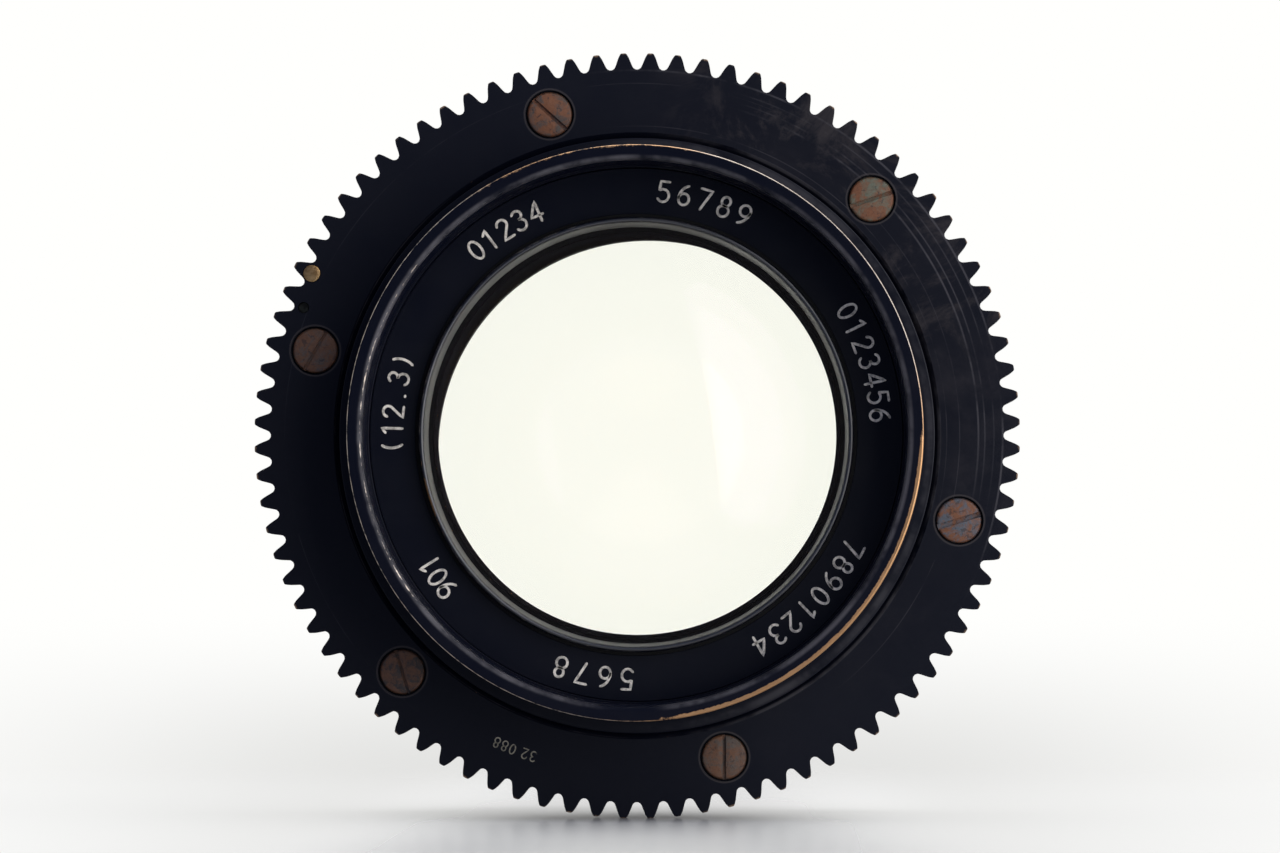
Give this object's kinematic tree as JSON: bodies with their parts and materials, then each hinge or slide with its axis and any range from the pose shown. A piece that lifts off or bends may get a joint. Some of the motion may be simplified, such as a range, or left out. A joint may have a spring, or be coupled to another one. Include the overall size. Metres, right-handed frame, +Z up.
{
  "type": "geared cine lens",
  "caption": "Black-finished cine lens with a toothed focus ring, recessed engraved front ring, coated glass, iris and rear camera mount.",
  "frame": {"origin": "centre of the camera spigot where it meets the rear seat of the mount flange, on the optical axis", "axes": "+Y along the optical axis to the rear, -Y out of the front, +Z up, +X to the right seen from the front"},
  "size_m": [0.0714, 0.0672, 0.0714],
  "materials": {
    "black_finish": "black oxide over brass, worn to metal on edges",
    "matt_black": "matt anti-reflection black",
    "copper_brown": "tarnished brown with grey patches",
    "brass": "bare, slightly tarnished",
    "steel": "dull",
    "blade_steel": "blued, dull",
    "scale_white": "filled marking paint",
    "coated_glass": "polished, single-layer purple coating"
  },
  "bodies": {
    "mount": {"mount_flange": "black_finish", "mount_body": "black_finish", "mount_screws": "copper_brown", "locating_pin": "brass", "guide_key": "brass", "focus_index": "brass", "focus_stop_pin": "steel"},
    "focus_ring": {"focus_sleeve": "black_finish", "sleeve_guide_screws": "steel", "focus_gear": "black_finish", "gear_screws": "copper_brown", "gear_pin": "brass", "gear_set_screw": "steel"},
    "lens_barrel": {"barrel_tube": "black_finish", "front_rim": "black_finish", "name_ring": "black_finish", "front_cell": "black_finish", "front_retainer": "black_finish", "front_element": "coated_glass", "front_spacer": "matt_black", "front_doublet_crown": "coated_glass", "front_doublet_flint": "coated_glass", "doublet_retainer": "matt_black", "iris_housing": "matt_black", "iris_housing_screws": "brass", "rear_cell": "black_finish", "rear_doublet_flint": "coated_glass", "rear_doublet_crown": "coated_glass", "rear_spacer": "matt_black", "rear_element": "coated_glass", "rear_retainer": "black_finish", "iris_index": "scale_white"},
    "iris_control": {"iris_ring": "black_finish", "iris_drive_pin": "brass", "iris_drive_tube": "matt_black", "iris_cam_ring": "matt_black"},
    "blade_1": {"iris_blade_1": "blade_steel"},
    "blade_2": {"iris_blade_2": "blade_steel"},
    "blade_3": {"iris_blade_3": "blade_steel"},
    "blade_4": {"iris_blade_4": "blade_steel"},
    "blade_5": {"iris_blade_5": "blade_steel"},
    "blade_6": {"iris_blade_6": "blade_steel"},
    "blade_7": {"iris_blade_7": "blade_steel"},
    "blade_8": {"iris_blade_8": "blade_steel"},
    "blade_9": {"iris_blade_9": "blade_steel"}
  },
  "joints": [
    {"name": "focus_turn", "type": "hinge", "parent": "mount", "child": "focus_ring", "pos_m": [0, 0, 0], "axis": [0, -1, 0], "range_deg": [0, 270]},
    {"name": "focus_travel", "type": "slide", "parent": "mount", "child": "lens_barrel", "axis": [0, -1, 0], "range_m": [0, 0.00676]},
    {"name": "iris_turn", "type": "hinge", "parent": "lens_barrel", "child": "iris_control", "pos_m": [0, 0, 0], "axis": [0, -1, 0], "range_deg": [0, 65.5]},
    {"name": "blade_turn_1", "type": "hinge", "parent": "lens_barrel", "child": "blade_1", "pos_m": [0.019, -0.0104, 0], "axis": [0, -1, 0], "range_deg": [0, 32.59]},
    {"name": "blade_turn_2", "type": "hinge", "parent": "lens_barrel", "child": "blade_2", "pos_m": [0.01455, -0.0104, 0.01221], "axis": [0, -1, 0], "range_deg": [0, 32.59]},
    {"name": "blade_turn_3", "type": "hinge", "parent": "lens_barrel", "child": "blade_3", "pos_m": [0.0033, -0.0104, 0.01871], "axis": [0, -1, 0], "range_deg": [0, 32.59]},
    {"name": "blade_turn_4", "type": "hinge", "parent": "lens_barrel", "child": "blade_4", "pos_m": [-0.0095, -0.0104, 0.01645], "axis": [0, -1, 0], "range_deg": [0, 32.59]},
    {"name": "blade_turn_5", "type": "hinge", "parent": "lens_barrel", "child": "blade_5", "pos_m": [-0.01785, -0.0104, 0.0065], "axis": [0, -1, 0], "range_deg": [0, 32.59]},
    {"name": "blade_turn_6", "type": "hinge", "parent": "lens_barrel", "child": "blade_6", "pos_m": [-0.01785, -0.0104, -0.0065], "axis": [0, -1, 0], "range_deg": [0, 32.59]},
    {"name": "blade_turn_7", "type": "hinge", "parent": "lens_barrel", "child": "blade_7", "pos_m": [-0.0095, -0.0104, -0.01645], "axis": [0, -1, 0], "range_deg": [0, 32.59]},
    {"name": "blade_turn_8", "type": "hinge", "parent": "lens_barrel", "child": "blade_8", "pos_m": [0.0033, -0.0104, -0.01871], "axis": [0, -1, 0], "range_deg": [0, 32.59]},
    {"name": "blade_turn_9", "type": "hinge", "parent": "lens_barrel", "child": "blade_9", "pos_m": [0.01455, -0.0104, -0.01221], "axis": [0, -1, 0], "range_deg": [0, 32.59]}
  ],
  "couplings": [
    {"joint": "focus_travel", "follows": "focus_turn", "m_per_rad": 0.0014324},
    {"joint": "blade_turn_1", "follows": "iris_turn", "ratio": 0.49453},
    {"joint": "blade_turn_2", "follows": "iris_turn", "ratio": 0.49453},
    {"joint": "blade_turn_3", "follows": "iris_turn", "ratio": 0.49453},
    {"joint": "blade_turn_4", "follows": "iris_turn", "ratio": 0.49453},
    {"joint": "blade_turn_5", "follows": "iris_turn", "ratio": 0.49453},
    {"joint": "blade_turn_6", "follows": "iris_turn", "ratio": 0.49453},
    {"joint": "blade_turn_7", "follows": "iris_turn", "ratio": 0.49453},
    {"joint": "blade_turn_8", "follows": "iris_turn", "ratio": 0.49453},
    {"joint": "blade_turn_9", "follows": "iris_turn", "ratio": 0.49453}
  ]
}
